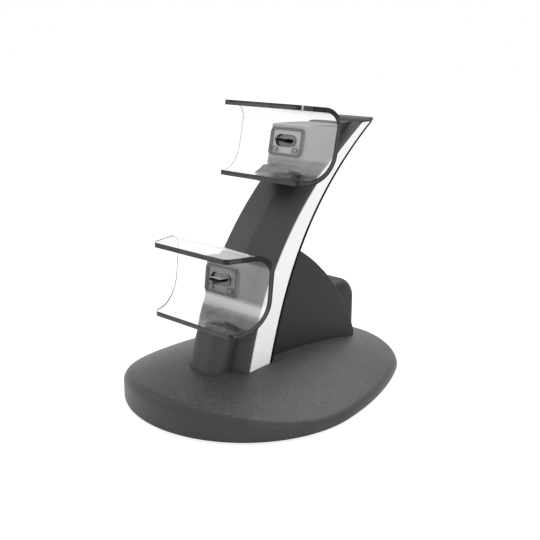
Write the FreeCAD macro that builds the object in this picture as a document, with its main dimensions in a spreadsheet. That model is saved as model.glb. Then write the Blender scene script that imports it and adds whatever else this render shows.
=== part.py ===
import FreeCAD, Part
import math
import os
import Sketcher

# Controller charging dock: a pebble-shaped base, a column that leans back in a curve, two
# clear cradles with a charging plug each, a light strip down both sides of the column and a
# rear housing with the power inlet.
# Millimetres, +Z up. The origin lies under the middle of the base, on the surface that the
# dock stands on. The front, where the controllers go in, faces -Y, and +X is to the right.

os.makedirs("parts", exist_ok=True)
doc = FreeCAD.newDocument("charging_dock")
Vector = FreeCAD.Vector
ACROSS = Vector(1, 0, 0)
ALONG = Vector(0, 1, 0)
UP = Vector(0, 0, 1)

# Driving dimensions
DIMENSIONS = {
    # base
    "foot_stand": 1.0,            # gap between the surface and the underside of the base
    "base_length": 152.0,
    "front_radius": 59.4,         # outline of the base seen from above
    "rear_radius": 48.6,
    "side_radius": 165.0,
    "crown_height": 20.0,         # top of the dome above the surface
    "crown_lead": 20.9,           # how far the dome's top lies ahead of the middle
    "dome_edge_height": 4.78,     # height of the dome over the side and rear ends
    "shoulder_radius": 4.5,
    "cover_wall": 2.4,
    "plate_thickness": 2.6,
    "plate_gap": 0.2,
    "plinth_width": 46.0,         # solid block in the cover that carries the column
    "plinth_front": 53.0,
    "plinth_rear": 14.0,
    "trim_margin": 15.0,          # how far a form that only cuts runs past what it cuts
    "base_boss_diameter": 7.0,
    "base_boss_inset": 15.0,      # distance inside the rim of the base
    "base_boss_front_angle": 25.8,
    "base_boss_rear_angle": 16.4,
    "foot_pad_diameter": 11.0,
    "foot_pad_recess": 0.6,
    "foot_pad_edge": 0.4,
    "foot_pad_inset": 12.0,
    "foot_pad_front_angle": 38.5,
    "foot_pad_rear_angle": 35.0,
    # column
    "column_seat": 16.0,          # floor of the recess that the column stands in
    "column_top": 124.0,
    "column_foot_half": 18.4,
    "column_top_half": 16.2,
    "strip_foot_y": 35.2,         # front edge of the light strip at the seat, ahead of middle
    "strip_top_y": 50.6,          # front edge of the light strip at the top, behind middle
    "front_foot_angle": 14.9,      # lean of the front edge, in degrees
    "front_top_angle": 59.1,
    "strip_depth_foot": 15.0,
    "strip_depth_top": 8.3,
    "rear_foot_angle": 18.0,
    "rear_top_angle": 56.9,
    "ridge_lead_foot": 6.5,       # how far the front ridge stands ahead of the strip's edge
    "ridge_lead_top": 4.0,
    "corner_band": 1.2,           # dark band of the front shell beside the strip
    "rear_band": 0.8,             # dark rim of the rear shell beside the strip
    "shell_wall": 2.0,
    "ridge_wall": 2.6,            # level thickness of the front shell behind its ridge
    "strip_thickness": 2.4,
    "strip_end_margin": 0.8,
    "strip_bevel": 0.6,
    "ledge_depth": 2.2,
    "led_board_thickness": 1.2,
    "led_board_top": 96.0,
    "cap_thickness": 1.6,
    "cap_edge": 0.8,
    "cap_tongue_depth": 3.0,
    "corner_radius": 1.4,
    "ridge_flat": 0.6,
    "fit_gap": 0.15,
    "column_boss_diameter": 6.4,
    "column_boss_x": 8.0,
    "column_boss_y": 32.5,
    "column_boss_height": 12.0,
    # cradles
    "cradle_height": 36.0,
    "cradle_wall": 2.3,
    "upper_bend_radius": 8.4,
    "lower_bend_radius": 16.3,
    "upper_leaf": 14.7,
    "lower_leaf": 4.3,
    "upper_droop_angle": 5.0,           # how far each leaf dips from square to the back, in degrees
    "lower_droop_angle": 6.0,
    "cradle_back_half": 30.0,
    "cradle_tip_half": 23.1,
    "leaf_corner_radius": 3.5,
    "upper_cradle_y": 8.9,
    "upper_cradle_z": 97.5,
    "upper_pitch_angle": 12.2,
    "lower_cradle_y": -34.3,
    "lower_cradle_z": 38.9,
    "lower_pitch_angle": 7.1,
    # seat of each plug
    "seal_span": 20.4,
    "seal_rise": 14.0,
    "seal_middle": 19.1,
    "seal_width": 1.5,
    "seal_depth": 1.2,
    "seal_corner_radius": 2.6,
    "slot_width": 12.0,
    "slot_height": 5.8,
    "block_width": 22.0,
    "block_bottom": 7.0,
    "block_top": 27.3,
    "block_corner_radius": 1.0,
    "block_reach": 45.0,
    "plug_middle": 19.8,
    "plug_width": 6.85,
    "plug_height": 1.8,
    "plug_reach": 5.9,
    "plug_metal_thickness": 0.3,
    "plug_play": 0.05,
    "collar_width": 9.0,
    "collar_height": 4.0,
    "collar_front": 3.0,
    "collar_depth": 4.0,
    "tongue_width": 4.6,
    "tongue_thickness": 0.7,
    "tongue_setback": 0.8,
    "plug_side_height": 0.65,            # straight part of the plug's short sides
    "plug_corner_width": 0.95,
    "seat_screw_x": 6.2,
    "seat_screw_w": 15.4,
    "seat_screw_head": 2.6,
    "seat_screw_floor": 0.8,      # clear plastic left under each screw head
    "seat_screw_shank": 1.8,
    "seat_screw_head_height": 1.0,
    "seat_screw_length": 6.0,
    # pillar and bracket under the cradles
    "pillar_half": 10.3,
    "pillar_nose_radius": 7.0,
    "pillar_lead": 8.0,
    "bracket_front_y": 3.1,
    "bracket_bottom": 99.4,
    "bracket_rear_y": 22.0,
    "bracket_nose_radius": 6.0,
    # rear housing
    "fin_half": 14.4,
    "fin_rear_y": 50.8,
    "fin_radius": 111.0,
    "fin_centre_y": 51.2,
    "fin_centre_z": 28.3,
    "fin_edge_radius": 0.7,
    "fin_bottom": 5.0,
    "fin_top": 70.0,
    "fin_front_low": 27.0,        # the fin's front runs hidden inside the column
    "fin_front_high": 8.0,
    "lobe_front_y": 10.0,
    "lobe_half": 13.0,
    "lobe_rear_y": 55.0,
    "lobe_top": 43.0,
    "lobe_round": 11.0,
    "lobe_edge_radius": 6.0,
    "housing_wall": 2.2,
    "inlet_width": 7.6,
    "inlet_height": 2.9,
    "inlet_z": 25.0,
    "inlet_length": 5.6,
    "inlet_metal_thickness": 0.35,
    "inlet_setback": 0.6,
    "board_setback": 4.0,
    "board_side_gap": 0.9,
    "charge_board_thickness": 1.6,
    "charge_board_length": 30.0,
    "ledge_width": 3.4,
    "ledge_height": 2.4,
    # screws in the underside
    "screw_head_diameter": 5.0,
    "screw_head_height": 1.4,
    "screw_shank_diameter": 2.6,
    "base_screw_length": 4.5,
    "column_screw_length": 8.0,
    "screw_clearance": 0.15,
    "cross_reach": 0.62,          # shares of the screw head's radius
    "cross_arm": 0.14,
    "cross_depth": 0.6,           # share of the head's height
}

sheet = doc.addObject("Spreadsheet::Sheet", "sizes")
for row, (alias, number) in enumerate(DIMENSIONS.items(), start=1):
    sheet.set(f"A{row}", alias)
    sheet.set(f"B{row}", str(number))
    sheet.setAlias(f"B{row}", alias)
doc.recompute()


class Size:
    """A number from the sheet, or worked out from such numbers, with the expression for it."""

    def __init__(self, value, text):
        self.value = float(value)
        self.text = text

    def combine(self, other, sign, value):
        return Size(value, f"({self.text} {sign} {other.text})")

    def __add__(self, other):
        other = as_size(other)
        return self.combine(other, "+", self.value + other.value)

    def __sub__(self, other):
        other = as_size(other)
        return self.combine(other, "-", self.value - other.value)

    def __mul__(self, other):
        other = as_size(other)
        return self.combine(other, "*", self.value * other.value)

    def __truediv__(self, other):
        other = as_size(other)
        return self.combine(other, "/", self.value / other.value)

    def __neg__(self):
        return Size(-self.value, f"(-1 * {self.text})")

    __radd__ = __add__

    def __rsub__(self, other):
        return as_size(other) - self

    __rmul__ = __mul__


def as_size(number):
    return number if isinstance(number, Size) else Size(number, repr(float(number)))


def size(alias):
    return Size(sheet.get(alias), f"sizes.{alias}")


def cosine(angle):
    return Size(math.cos(math.radians(angle.value)), f"cos({angle.text} * 1 deg)")


def sine(angle):
    return Size(math.sin(math.radians(angle.value)), f"sin({angle.text} * 1 deg)")


def tangent(angle):
    return sine(angle) / cosine(angle)


S = {alias: size(alias) for alias in DIMENSIONS}
NOTHING = as_size(0.0)


# Helpers for bodies, sketches and booleans

def bind(thing, path, value):
    """Ties a property to its expression."""
    thing.setExpression(path, as_size(value).text)


def new_body(name):
    body = doc.addObject("PartDesign::Body", name)
    body.Label = name
    return body


def origin_plane(body, role):
    return next(plane for plane in body.Origin.OriginFeatures if plane.Role == role)


def new_sketch(body, name, role, offset=None):
    sketch = body.newObject("Sketcher::SketchObject", name)
    sketch.AttachmentSupport = [(origin_plane(body, role), "")]
    sketch.MapMode = "FlatFace"
    if offset is not None:
        bind(sketch, "AttachmentOffset.Base.z", offset)
    return sketch


def dimension(sketch, kind, *where, value):
    """Adds a driving constraint that follows its expression."""
    value = as_size(value)
    index = sketch.addConstraint(Sketcher.Constraint(kind, *where, value.value))
    sketch.setExpression(f"Constraints[{index}]", value.text)
    return index


def hold_point(sketch, curve, end, x, y):
    """Puts one end of a curve at a place given by two sizes."""
    if x.value == 0.0:
        sketch.addConstraint(Sketcher.Constraint("PointOnObject", curve, end, -2))
    else:
        dimension(sketch, "DistanceX", -1, 1, curve, end, value=x)
    if y.value == 0.0:
        sketch.addConstraint(Sketcher.Constraint("PointOnObject", curve, end, -1))
    else:
        dimension(sketch, "DistanceY", -1, 1, curve, end, value=y)


def polygon(sketch, points):
    """Draws a closed outline of straight lines through the given places."""
    places = [(as_size(x), as_size(y)) for x, y in points]
    flat = [Vector(x.value, y.value, 0) for x, y in places]
    first = sketch.GeometryCount
    count = len(flat)
    for index in range(count):
        sketch.addGeometry(Part.LineSegment(flat[index], flat[(index + 1) % count]), False)
    for index in range(count):
        following = first + (index + 1) % count
        sketch.addConstraint(Sketcher.Constraint("Coincident", first + index, 2, following, 1))
    for index, (x, y) in enumerate(places):
        hold_point(sketch, first + index, 1, x, y)


def rectangle(sketch, middle_x, middle_y, width, height):
    left, right = middle_x - width / 2, middle_x + width / 2
    low, high = middle_y - height / 2, middle_y + height / 2
    polygon(sketch, [(left, low), (right, low), (right, high), (left, high)])


def circle(sketch, x, y, radius):
    centre = Vector(as_size(x).value, as_size(y).value, 0)
    curve = sketch.addGeometry(Part.Circle(centre, UP, as_size(radius).value), False)
    hold_point(sketch, curve, 3, as_size(x), as_size(y))
    dimension(sketch, "Radius", curve, value=radius)


def arc_between(centre, radius, start, end):
    """A counter-clockwise arc, with its angles in degrees."""
    return Part.ArcOfCircle(
        Part.Circle(centre, UP, radius), math.radians(start), math.radians(end)
    )


def rounded_slot(sketch, middle_x, middle_y, width, height):
    """A stadium that lies along the first axis of the sketch."""
    reach = (width - height) / 2
    left, right = middle_x - reach, middle_x + reach
    radius = height / 2
    y, r = middle_y.value, radius.value
    first = sketch.GeometryCount
    sketch.addGeometry(arc_between(Vector(left.value, y, 0), r, 90, 270), False)
    sketch.addGeometry(
        Part.LineSegment(Vector(left.value, y - r, 0), Vector(right.value, y - r, 0)), False
    )
    sketch.addGeometry(arc_between(Vector(right.value, y, 0), r, -90, 90), False)
    sketch.addGeometry(
        Part.LineSegment(Vector(right.value, y + r, 0), Vector(left.value, y + r, 0)), False
    )
    for index in range(4):
        following = first + (index + 1) % 4
        sketch.addConstraint(Sketcher.Constraint("Tangent", first + index, 2, following, 1))
    hold_point(sketch, first, 3, left, middle_y)
    dimension(sketch, "DistanceX", -1, 1, first + 2, 3, value=right)
    dimension(sketch, "Radius", first, value=radius)


def rounded_rectangle(sketch, middle_y, width, height, radius):
    """Draws a rectangle across the middle of the sketch, with four equal round corners."""
    x, low, high = width / 2, middle_y - height / 2, middle_y + height / 2
    r = radius.value
    centres = [
        (x - radius, high - radius),
        (radius - x, high - radius),
        (radius - x, low + radius),
        (x - radius, low + radius),
    ]
    first = sketch.GeometryCount
    arcs = [
        arc_between(Vector(across.value, up.value, 0), r, 90 * corner, 90 * corner + 90)
        for corner, (across, up) in enumerate(centres)
    ]
    for arc in arcs:
        sketch.addGeometry(arc, False)
    for corner in range(4):
        following = arcs[(corner + 1) % 4]
        sketch.addGeometry(
            Part.LineSegment(arcs[corner].EndPoint, following.StartPoint), False
        )
    for corner, (across, up) in enumerate(centres):
        line = first + 4 + corner
        following = first + (corner + 1) % 4
        sketch.addConstraint(Sketcher.Constraint("Tangent", first + corner, 2, line, 1))
        sketch.addConstraint(Sketcher.Constraint("Tangent", line, 2, following, 1))
        hold_point(sketch, first + corner, 3, across, up)
    dimension(sketch, "Radius", first, value=radius)


def pad(body, sketch, name, length, both_ways=False, reversed_way=False):
    feature = body.newObject("PartDesign::Pad", name)
    feature.Profile = sketch
    bind(feature, "Length", length)
    feature.Midplane = both_ways
    feature.Reversed = reversed_way
    sketch.Visibility = False
    return feature


def pocket(body, sketch, name, length=None, both_ways=False, reversed_way=False):
    """Cuts a sketch out of the body, right through it where no length is given."""
    doc.recompute()
    feature = body.newObject("PartDesign::Pocket", name)
    feature.Profile = sketch
    if length is None:
        feature.Type = "ThroughAll"
    else:
        bind(feature, "Length", length)
    feature.Midplane = both_ways
    feature.Reversed = reversed_way
    before = feature.BaseFeature.Shape.Volume if feature.BaseFeature else 0
    doc.recompute()
    if before and feature.Shape.Volume > before - 0.01:
        raise RuntimeError(f"{body.Name}.{name} removes nothing")
    return feature


def fillet(body, base, name, radius, chosen):
    """Rounds the edges of a feature that the test picks."""
    doc.recompute()
    names = [f"Edge{i}" for i, edge in enumerate(base.Shape.Edges, start=1) if chosen(edge)]
    feature = body.newObject("PartDesign::Fillet", name)
    feature.Base = (base, names)
    bind(feature, "Radius", radius)
    return feature


def put(thing, x=0.0, y=0.0, z=0.0, lean=None):
    """Places an object by sizes. A lean tips its top towards the rear."""
    if lean is not None:
        thing.Placement = FreeCAD.Placement(Vector(0, 0, 0), FreeCAD.Rotation(-ACROSS, 1.0))
        bind(thing, "Placement.Rotation.Angle", lean)
    for axis, value in (("x", x), ("y", y), ("z", z)):
        bind(thing, f"Placement.Base.{axis}", value)
    return thing


def boolean(kind, name, base, tools):
    """Cuts, joins or intersects, and keeps the result as an object of the document."""
    result = base
    for number, tool in enumerate(tools, start=1):
        last = number == len(tools)
        step = doc.addObject(f"Part::{kind}", name if last else f"{name}_{kind.lower()}_{number}")
        step.Base = result
        step.Tool = tool
        result = step
    return result


def cylinder(name, radius, height, x=0.0, y=0.0, z=0.0):
    thing = doc.addObject("Part::Cylinder", name)
    bind(thing, "Radius", radius)
    bind(thing, "Height", height)
    for axis, value in (("x", x), ("y", y), ("z", z)):
        bind(thing, f"Placement.Base.{axis}", value)
    return thing


def box(name, low, high):
    """A box between two corners that are given by sizes."""
    thing = doc.addObject("Part::Box", name)
    sides = ("Length", "Width", "Height")
    for side, axis, start, end in zip(sides, "xyz", low, high):
        bind(thing, side, as_size(end) - as_size(start))
        bind(thing, f"Placement.Base.{axis}", start)
    return thing


def solid_feature(name, shape):
    feature = doc.addObject("Part::Feature", name)
    feature.Shape = shape
    return feature


# Base cover
# A moulded shell, open below. Its outline is four arcs, its top is one dome, and a solid
# plinth inside carries the column.

def base_outline(body, name, inset):
    """Draws the outline of the base, moved inwards by an inset."""
    sketch = new_sketch(body, name, "XY_Plane")
    front, rear, side = (S[f"{end}_radius"] - inset for end in ("front", "rear", "side"))
    front_y = S["front_radius"] - S["base_length"] / 2
    rear_y = S["base_length"] / 2 - S["rear_radius"]
    to_front = side.value - front.value
    to_rear = side.value - rear.value
    spacing = rear_y.value - front_y.value
    along = (to_front ** 2 - to_rear ** 2 + spacing ** 2) / (2 * spacing)
    side_x = math.sqrt(to_front ** 2 - along ** 2)
    side_y = front_y.value + along
    low = math.degrees(math.atan2(front_y.value - side_y, side_x))
    high = math.degrees(math.atan2(rear_y.value - side_y, side_x))
    arcs = (
        arc_between(Vector(0, front_y.value, 0), front.value, 180 - low, 360 + low),
        arc_between(Vector(-side_x, side_y, 0), side.value, low, high),
        arc_between(Vector(0, rear_y.value, 0), rear.value, high, 180 - high),
        arc_between(Vector(side_x, side_y, 0), side.value, 180 - high, 180 - low),
    )
    for arc in arcs:
        sketch.addGeometry(arc, False)
    for index in range(4):
        sketch.addConstraint(Sketcher.Constraint("Tangent", index, 2, (index + 1) % 4, 1))
    for index, centre in ((0, front_y), (2, rear_y)):
        hold_point(sketch, index, 3, NOTHING, centre)
    dimension(sketch, "Radius", 0, value=front)
    dimension(sketch, "Radius", 2, value=rear)
    dimension(sketch, "Radius", 1, value=side)
    sketch.addConstraint(Sketcher.Constraint("Equal", 1, 3))
    return sketch


def arc_radius(reach, sag):
    """The radius of an arc that falls by a sag over a reach from its top."""
    return (reach * reach + sag * sag) / (sag * 2)


def dome_region(body, name, drop):
    """Draws what lies outside the dome, with the axis that the dome turns about.

    The region is drawn on the far side of the axis, so that the seam of the turned surface
    stays away from the dome.
    """
    sketch = new_sketch(body, name, "YZ_Plane")
    apex_y = -S["crown_lead"]
    sag = S["crown_height"] - S["dome_edge_height"]
    radius = arc_radius(S["base_length"] / 2 + S["crown_lead"], sag) - drop
    reach = S["base_length"] / 2 + S["trim_margin"]
    axis_z = S["crown_height"] - arc_radius(S["front_radius"], sag)
    lowest = axis_z * 2 - S["crown_height"] + drop
    centre_z = lowest + radius
    deepest = lowest - S["crown_height"] - S["trim_margin"] * 2
    ends = []
    for end_y in (-reach, reach):
        rise = math.sqrt(radius.value ** 2 - (end_y.value - apex_y.value) ** 2)
        ends.append(Vector(end_y.value, centre_z.value - rise, 0))
    start, stop = (
        math.degrees(math.atan2(end.y - centre_z.value, end.x - apex_y.value)) for end in ends
    )
    centre = Vector(apex_y.value, centre_z.value, 0)
    sketch.addGeometry(arc_between(centre, radius.value, start, stop), False)
    corners = [
        ends[1],
        Vector(reach.value, deepest.value, 0),
        Vector(-reach.value, deepest.value, 0),
        ends[0],
    ]
    for here, there in zip(corners, corners[1:]):
        sketch.addGeometry(Part.LineSegment(here, there), False)
    for index in range(4):
        sketch.addConstraint(
            Sketcher.Constraint("Coincident", index, 2, (index + 1) % 4, 1)
        )
    hold_point(sketch, 0, 3, apex_y, centre_z)
    dimension(sketch, "Radius", 0, value=radius)
    hold_point(sketch, 2, 1, reach, deepest)
    hold_point(sketch, 2, 2, -reach, deepest)
    sketch.addConstraint(Sketcher.Constraint("Vertical", 1))
    sketch.addConstraint(Sketcher.Constraint("Vertical", 3))
    axis = sketch.addGeometry(
        Part.LineSegment(
            Vector(-reach.value, axis_z.value, 0), Vector(reach.value, axis_z.value, 0)
        ),
        True,
    )
    hold_point(sketch, axis, 1, -reach, axis_z)
    hold_point(sketch, axis, 2, reach, axis_z)
    return sketch


def pebble(name, inset, drop, floor, shoulder_radius):
    """The domed form of the base, drawn in from its side by an inset and down by a drop."""
    body = new_body(name)
    outline = base_outline(body, f"{name}_outline", inset)
    pad(body, outline, f"{name}_block", S["crown_height"] + S["trim_margin"])
    region = dome_region(body, f"{name}_dome_region", drop + floor)
    dome = body.newObject("PartDesign::Groove", f"{name}_dome")
    dome.Profile = region
    dome.ReferenceAxis = (region, ["Axis0"])
    dome.Angle = 360
    fillet(
        body,
        dome,
        f"{name}_shoulder",
        shoulder_radius,
        lambda edge: isinstance(edge.Curve, Part.BSplineCurve),
    )
    return put(body, z=floor)


foot = S["foot_stand"]
outer_base = pebble("base_outer", NOTHING, NOTHING, foot, S["shoulder_radius"])
inner_base = pebble(
    "base_inner", S["cover_wall"], S["cover_wall"], foot, S["shoulder_radius"] - S["cover_wall"]
)
plate_margin = S["cover_wall"] + S["plate_gap"]
plate_limit = pebble(
    "plate_limit", plate_margin, plate_margin, foot, S["shoulder_radius"] - plate_margin
)
base_clearance = pebble(
    "base_clearance",
    NOTHING - S["fit_gap"],
    NOTHING - S["fit_gap"],
    foot,
    S["shoulder_radius"] + S["fit_gap"],
)


# Column
# Both shells, the strips and the boards behind them are drawn in level sections. Each corner
# of a section follows one curve from the seat to the top, and straight walls join the
# curves, so the pieces share their edges exactly.

COLUMN_RISE = S["column_top"].value - S["column_seat"].value


class Track:
    """One corner of the column's section: its distance from the middle, and its depth."""

    def __init__(self, half, depth):
        self.half = half
        self.depth = depth

    def at(self, side, low, high):
        """The curve between two heights, as the four poles of a cubic."""
        thirds = [low + (high - low) * step / 3 for step in range(4)]
        rise = high - low
        y0, y1 = self.depth(low), self.depth(high)
        slope0 = slope_of(self.depth, low)
        slope1 = slope_of(self.depth, high)
        depths = (y0, y0 + slope0 * rise / 3, y1 - slope1 * rise / 3, y1)
        curve = Part.BezierCurve()
        curve.setPoles(
            [Vector(side * self.half(z), y, z) for z, y in zip(thirds, depths)]
        )
        return curve.toShape()


def slope_of(depth, z):
    step = 0.01
    return (depth(z + step) - depth(z - step)) / (2 * step)


def lean_curve(foot_y, top_y, foot_lean, top_lean):
    """A cubic in the height with given ends and given leans in degrees."""
    slope0 = math.tan(math.radians(foot_lean)) * COLUMN_RISE
    slope1 = math.tan(math.radians(top_lean)) * COLUMN_RISE

    def depth(z):
        u = (z - S["column_seat"].value) / COLUMN_RISE
        return (
            foot_y * (1 + 2 * u) * (1 - u) ** 2
            + slope0 * u * (1 - u) ** 2
            + top_y * u * u * (3 - 2 * u)
            + slope1 * u * u * (u - 1)
        )

    return depth


def straight(foot_value, top_value):
    def value(z):
        u = (z - S["column_seat"].value) / COLUMN_RISE
        return foot_value + (top_value - foot_value) * u

    return value


strip_front = lean_curve(
    -S["strip_foot_y"].value,
    S["strip_top_y"].value,
    S["front_foot_angle"].value,
    S["front_top_angle"].value,
)
strip_rear = lean_curve(
    S["strip_depth_foot"].value - S["strip_foot_y"].value,
    S["strip_top_y"].value + S["strip_depth_top"].value,
    S["rear_foot_angle"].value,
    S["rear_top_angle"].value,
)
column_half = straight(S["column_foot_half"].value, S["column_top_half"].value)
ridge_lead = straight(S["ridge_lead_foot"].value, S["ridge_lead_top"].value)


def ahead(curve, distance):
    """A curve that runs a level distance ahead of another, or behind it if negative."""
    return lambda z: curve(z) - distance


def inside(distance):
    """The column's side, moved towards the middle by a distance."""
    return lambda z: column_half(z) - distance


def ridge(z):
    return strip_front(z) - ridge_lead(z)


def on_middle(z):
    return 0.0


def section_solid(tracks, low, high, sides):
    """A solid whose level section is the polygon through the given tracks.

    With both sides, the tracks run from the middle plane round the right half of the
    section, and the left half mirrors them.
    """
    if sides == BOTH:
        corners = [(1, track) for track in tracks]
        corners += [(-1, track) for track in reversed(tracks) if track.half(low) != 0.0]
    else:
        corners = [(sides, track) for track in tracks]
    edges = [track.at(side, low, high) for side, track in corners]
    count = len(edges)
    faces = [Part.makeRuledSurface(edges[i], edges[(i + 1) % count]) for i in range(count)]
    for end in (0, 1):
        points = [edge.Vertexes[end].Point for edge in edges]
        faces.append(Part.Face(Part.makePolygon(points + points[:1])))
    skin = Part.makeCompound(faces)
    skin.sewShape()
    solid = Part.makeSolid(skin.Shells[0])
    if solid.Volume < 0:
        solid.reverse()
    return solid


def eased(first, corner, last, steps):
    """Tracks along the round between two tracks, where their corner would be."""
    tracks = [first]
    for step in range(1, steps):
        angle = math.radians(90 * step / steps)
        weights = (1 - math.sin(angle), math.cos(angle) + math.sin(angle) - 1, 1 - math.cos(angle))
        tracks.append(blend((first, corner, last), weights))
    return tracks + [last]


def blend(tracks, weights):
    return Track(
        lambda z: sum(w * track.half(z) for w, track in zip(weights, tracks)),
        lambda z: sum(w * track.depth(z) for w, track in zip(weights, tracks)),
    )


def on_facet(half, grow):
    """A track on the front facet at a given distance from the middle."""
    return Track(
        half,
        lambda z: ridge(z) - grow + (ridge_lead(z) - band) * half(z) / column_half(z),
    )


BOTH = 0
seat_z, top_z = S["column_seat"].value, S["column_top"].value
gap = S["fit_gap"].value
wall = S["shell_wall"].value
ridge_wall = S["ridge_wall"].value
strip_wall = S["strip_thickness"].value
ledge = S["ledge_depth"].value
band = S["corner_band"].value
rim = S["rear_band"].value
cap_z = top_z + S["cap_thickness"].value
clear_z = cap_z + S["trim_margin"].value


def column_solid(grow, low, high):
    """The whole outside of the column between two levels, grown by a function of the level."""
    tracks = [
        Track(on_middle, lambda z: ridge(z) - grow(z)),
        Track(lambda z: column_half(z) + grow(z), lambda z: strip_front(z) - band - grow(z)),
        Track(lambda z: column_half(z) + grow(z), lambda z: strip_rear(z) + grow(z)),
    ]
    return section_solid(tracks, low, high, BOTH)


column_hull = solid_feature(
    "column_clearance", column_solid(lambda z: gap, seat_z, clear_z)
)

round_size = S["corner_radius"].value
front_corner = eased(
    on_facet(inside(round_size), 0.0),
    Track(inside(0), ahead(strip_front, band)),
    Track(inside(0), ahead(strip_front, band - min(round_size, band))),
    4,
)
ridge_flat = S["ridge_flat"].value
column_and_behind = solid_feature("column_and_behind", section_solid(
    [
        Track(on_middle, ahead(ridge, gap)),
        Track(inside(-gap), ahead(strip_front, band + gap)),
        Track(inside(-gap), ahead(strip_rear, -S["block_reach"].value)),
    ],
    seat_z,
    clear_z,
    BOTH,
))
front_form = solid_feature("column_front_form", section_solid(
    [on_facet(lambda z: ridge_flat, 0.0)]
    + front_corner
    + [
        Track(inside(strip_wall), strip_front),
        Track(inside(strip_wall), ahead(strip_front, -ledge)),
        Track(inside(strip_wall + wall), ahead(strip_front, -ledge)),
        Track(inside(strip_wall + wall), ahead(strip_front, 0)),
        Track(on_middle, ahead(ridge, -ridge_wall)),
    ],
    seat_z,
    top_z,
    BOTH,
))
boss_tools, boss_holes = [], []
for side, sign in (("left", -1), ("right", 1)):
    place = (S["column_boss_x"] * sign, -S["column_boss_y"], S["column_seat"])
    boss_tools.append(
        cylinder(
            f"column_boss_{side}",
            S["column_boss_diameter"] / 2,
            S["column_boss_height"],
            *place,
        )
    )
    boss_holes.append(
        cylinder(
            f"column_boss_hole_{side}",
            S["screw_shank_diameter"] / 2 + S["screw_clearance"] / 2,
            S["column_screw_length"],
            *place,
        )
    )
front_solid = boolean("Fuse", "column_front_bossed", front_form, boss_tools)
column_front_shell = boolean("Cut", "column_front_shell", front_solid, boss_holes)

column_rear_shell = solid_feature(
    "column_rear_shell",
    section_solid(
        [
            Track(inside(0), strip_rear),
            Track(inside(0), ahead(strip_rear, rim)),
            Track(inside(strip_wall), ahead(strip_rear, rim)),
            Track(inside(strip_wall), ahead(strip_rear, rim + ledge)),
            Track(inside(strip_wall + wall), ahead(strip_rear, rim + ledge)),
            Track(inside(strip_wall + wall), ahead(strip_rear, wall)),
        ],
        seat_z,
        top_z,
        BOTH,
    ),
)

bevel = S["strip_bevel"].value
strip_low, strip_high = seat_z + S["strip_end_margin"].value, top_z - gap
strips, led_boards = {}, {}
for side, sign in (("left", -1), ("right", 1)):
    strips[side] = solid_feature(
        f"light_strip_{side}",
        section_solid(
            [
                Track(inside(strip_wall), ahead(strip_front, -gap)),
                Track(inside(bevel), ahead(strip_front, -gap)),
                Track(inside(0), ahead(strip_front, -gap - bevel)),
                Track(inside(0), ahead(strip_rear, rim + gap + bevel)),
                Track(inside(bevel), ahead(strip_rear, rim + gap)),
                Track(inside(strip_wall), ahead(strip_rear, rim + gap)),
            ],
            strip_low,
            strip_high,
            sign,
        ),
    )
    back = strip_wall + S["led_board_thickness"].value
    led_boards[side] = solid_feature(
        f"led_board_{side}",
        section_solid(
            [
                Track(inside(strip_wall), ahead(strip_front, -ledge - gap)),
                Track(inside(strip_wall), ahead(strip_rear, rim + ledge + gap)),
                Track(inside(back), ahead(strip_rear, rim + ledge + gap)),
                Track(inside(back), ahead(strip_front, -ledge - gap)),
            ],
            strip_low,
            S["led_board_top"].value,
            sign,
        ),
    )

cap_edge = S["cap_edge"].value
cap_side = column_solid(lambda z: 0.0, top_z, cap_z - cap_edge)
cap_rim = column_solid(lambda z: cap_z - cap_edge - z, cap_z - cap_edge, cap_z)
lip = wall + strip_wall + gap
cap_tongue = section_solid(
    [
        Track(on_middle, ahead(ridge, -ridge_wall - gap)),
        Track(inside(lip), ahead(strip_front, -gap)),
        Track(inside(lip), ahead(strip_rear, wall + gap)),
    ],
    top_z - S["cap_tongue_depth"].value,
    cap_z - cap_edge,
    BOTH,
)
column_top_cap = solid_feature(
    "column_top_cap", cap_side.fuse(cap_rim).fuse(cap_tongue)
)


# Pillar and bracket
# A round-nosed pillar rises from the base in front of the column and carries the lower
# cradle. A short bracket on the column carries the upper one.

def bend_bore(side):
    """The space that a cradle's lower bend takes, with its clearance."""
    pitch = S[f"{side}_pitch_angle"]
    radius = S["lower_bend_radius"]
    bore = cylinder(
        f"{side}_bend_bore",
        radius + S["fit_gap"],
        S["cradle_back_half"] * 2,
    )
    bore.Placement = FreeCAD.Placement(Vector(0, 0, 0), FreeCAD.Rotation(ALONG, 90))
    bind(bore, "Placement.Base.x", -S["cradle_back_half"])
    bind(
        bore,
        "Placement.Base.y",
        S[f"{side}_cradle_y"] - radius * cosine(pitch) + radius * sine(pitch),
    )
    bind(
        bore,
        "Placement.Base.z",
        S[f"{side}_cradle_z"] + radius * sine(pitch) + radius * cosine(pitch),
    )
    return bore


def block_floor(side):
    """The level of the underside of a cradle's connector block."""
    return S[f"{side}_cradle_z"] + S["block_bottom"] * cosine(S[f"{side}_pitch_angle"])


def pillar_solid(grow, low, high):
    """The pillar's form with its rounded nose, made larger all round by a clearance."""
    lead = S["pillar_lead"].value + grow
    half = S["pillar_half"].value + grow
    nose = S["pillar_nose_radius"].value + grow
    tracks = eased(
        Track(lambda z: half - nose, ahead(ridge, lead)),
        Track(lambda z: half, ahead(ridge, lead)),
        Track(lambda z: half, ahead(ridge, lead - nose)),
        8,
    )
    tracks.append(on_facet(lambda z: half, gap))
    tracks.append(Track(on_middle, ahead(ridge, gap)))
    return section_solid(tracks, low, high, BOTH)


pillar_bore = bend_bore("lower")
bracket_bore = bend_bore("upper")
pillar_top = block_floor("lower")
pillar_form = solid_feature("pillar_form", pillar_solid(0.0, seat_z, pillar_top.value))
cradle_pillar = boolean("Cut", "cradle_pillar", pillar_form, [pillar_bore])
pillar_clearance = solid_feature(
    "pillar_clearance", pillar_solid(gap, seat_z, pillar_top.value)
)

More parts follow.
